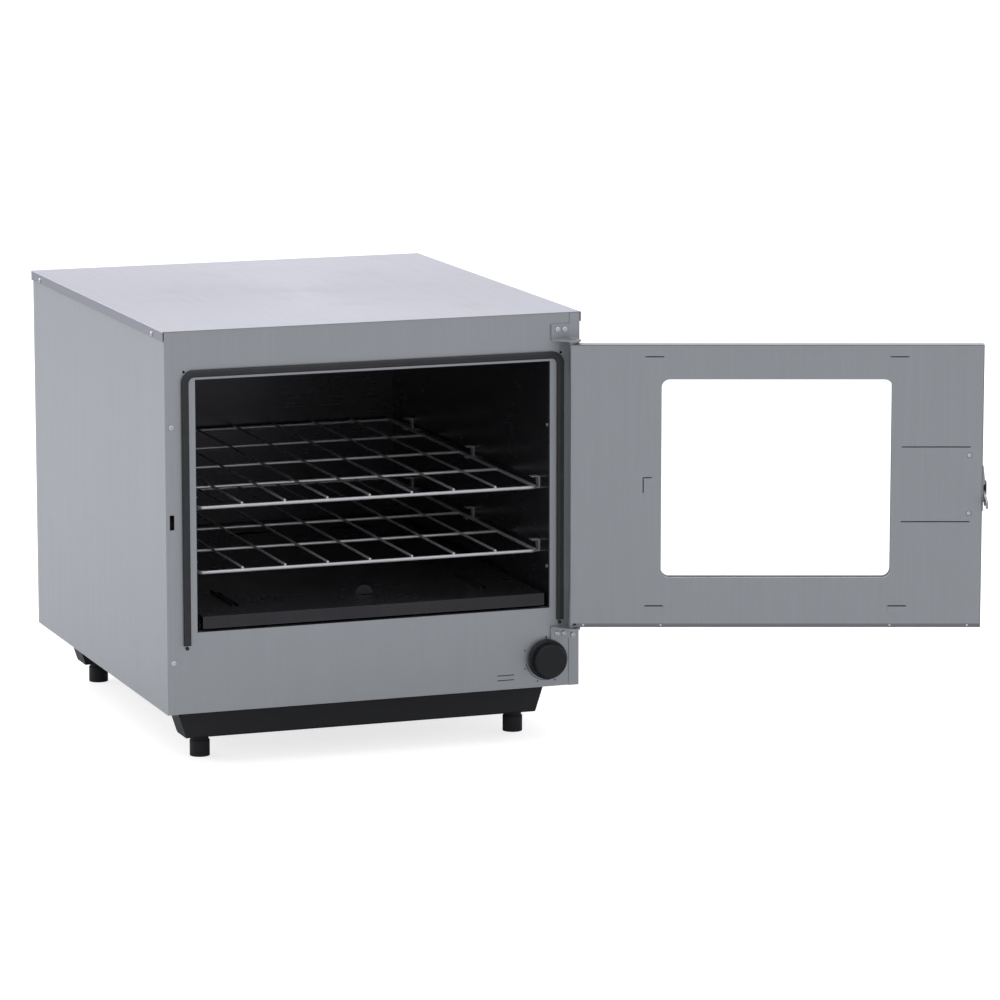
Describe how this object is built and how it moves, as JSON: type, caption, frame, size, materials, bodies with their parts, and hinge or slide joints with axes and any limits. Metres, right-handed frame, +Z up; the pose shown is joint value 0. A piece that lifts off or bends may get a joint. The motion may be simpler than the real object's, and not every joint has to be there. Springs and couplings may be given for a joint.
{
  "type": "countertop food holding cabinet",
  "caption": "Heated countertop holding cabinet with a side-hinged window door, pull-out wire shelves, vented baffle deck, thermostat knob and rubber feet.",
  "frame": {"origin": "on the counter, in the centre of the four feet", "axes": "+Z up, -Y out of the front opening, +X to the right seen from the front, where the door hinges"},
  "size_m": [1.1618, 0.9666, 0.617],
  "materials": {
    "stainless_outer": "satin",
    "stainless_top": "satin",
    "stainless_door": "satin",
    "cavity_dark": "satin",
    "shelf_chrome": "bright",
    "bright_fastener": "bright",
    "hinge_steel": "satin",
    "base_black": "matt",
    "foot_rubber": "matt",
    "gasket_rubber": "matt",
    "knob_black": "matt",
    "latch_black": "matt",
    "glass_clear": "clear",
    "galvanised": "satin",
    "element_sheath": "heat tinted",
    "mineral_wool": "fibrous",
    "control_plastic": "matt",
    "terminal_white": "matt",
    "lead_red": "matt"
  },
  "bodies": {
    "cabinet": {"base_rail_front": "base_black", "base_rail_rear": "base_black", "foot_front_left": "foot_rubber", "foot_front_right": "foot_rubber", "foot_rear_left": "foot_rubber", "foot_rear_right": "foot_rubber", "foot_screws": "bright_fastener", "base_rail_screws": "bright_fastener", "bottom_pan": "galvanised", "side_panel_left": "stainless_outer", "side_panel_right": "stainless_outer", "top_cover": "stainless_top", "rear_panel": "galvanised", "front_frame": "stainless_outer", "top_cover_screws": "bright_fastener", "front_frame_screws": "bright_fastener", "rear_panel_screws": "bright_fastener", "cavity_wall_left": "cavity_dark", "cavity_wall_right": "cavity_dark", "cavity_wall_rear": "cavity_dark", "cavity_ceiling": "cavity_dark", "cavity_floor": "cavity_dark", "cavity_rivets": "bright_fastener", "insulation_left": "mineral_wool", "insulation_right": "mineral_wool", "insulation_top": "mineral_wool", "shelf_clips_upper_left": "shelf_chrome", "shelf_clips_upper_right": "shelf_chrome", "shelf_clips_lower_left": "shelf_chrome", "shelf_clips_lower_right": "shelf_chrome", "heating_element": "element_sheath", "element_brackets": "galvanised", "thermostat": "control_plastic", "thermostat_probe": "hinge_steel", "thermostat_screws": "bright_fastener", "limit_thermostat": "control_plastic", "terminal_block": "terminal_white", "internal_leads": "lead_red", "cable_gland": "control_plastic", "door_gasket": "gasket_rubber", "gasket_end_pins": "gasket_rubber", "hinge_bracket_top": "hinge_steel", "hinge_bracket_bottom": "hinge_steel", "hinge_pins": "hinge_steel", "hinge_screws": "bright_fastener"},
    "door": {"door_outer_pan": "stainless_door", "door_inner_skin": "stainless_door", "door_glass": "glass_clear", "glass_clips": "galvanised", "door_knuckles": "hinge_steel", "latch_bracket": "hinge_steel", "latch_pivot": "hinge_steel", "door_screws": "bright_fastener"},
    "latch": {"latch_lever": "hinge_steel", "latch_grip": "latch_black"},
    "shelf_upper": {"upper_shelf": "shelf_chrome"},
    "shelf_lower": {"lower_shelf": "shelf_chrome"},
    "deck": {"baffle_deck": "cavity_dark"},
    "knob": {"control_knob": "knob_black", "thermostat_shaft": "hinge_steel"}
  },
  "joints": [
    {"name": "door_hinge", "type": "hinge", "parent": "cabinet", "child": "door", "pos_m": [0.2882, -0.368, 0.364], "axis": [0, 0, 1], "range_deg": [-160, 20]},
    {"name": "latch_lever_pivot", "type": "hinge", "parent": "door", "child": "latch", "pos_m": [0.83294, -0.56627, 0.35], "axis": [-0.9397, 0.342, 0], "range_deg": [-10, 8]},
    {"name": "upper_shelf_slide", "type": "slide", "parent": "cabinet", "child": "shelf_upper", "axis": [0, -1, 0], "range_m": [0, 0.33]},
    {"name": "lower_shelf_slide", "type": "slide", "parent": "cabinet", "child": "shelf_lower", "axis": [0, -1, 0], "range_m": [0, 0.33]},
    {"name": "deck_lift", "type": "slide", "parent": "cabinet", "child": "deck", "axis": [0, 0, 1], "range_m": [0, 0.03]},
    {"name": "knob_turn", "type": "hinge", "parent": "cabinet", "child": "knob", "pos_m": [0.256, -0.36, 0.12], "axis": [0, -1, 0], "range_deg": [-292.5, 0]}
  ]
}
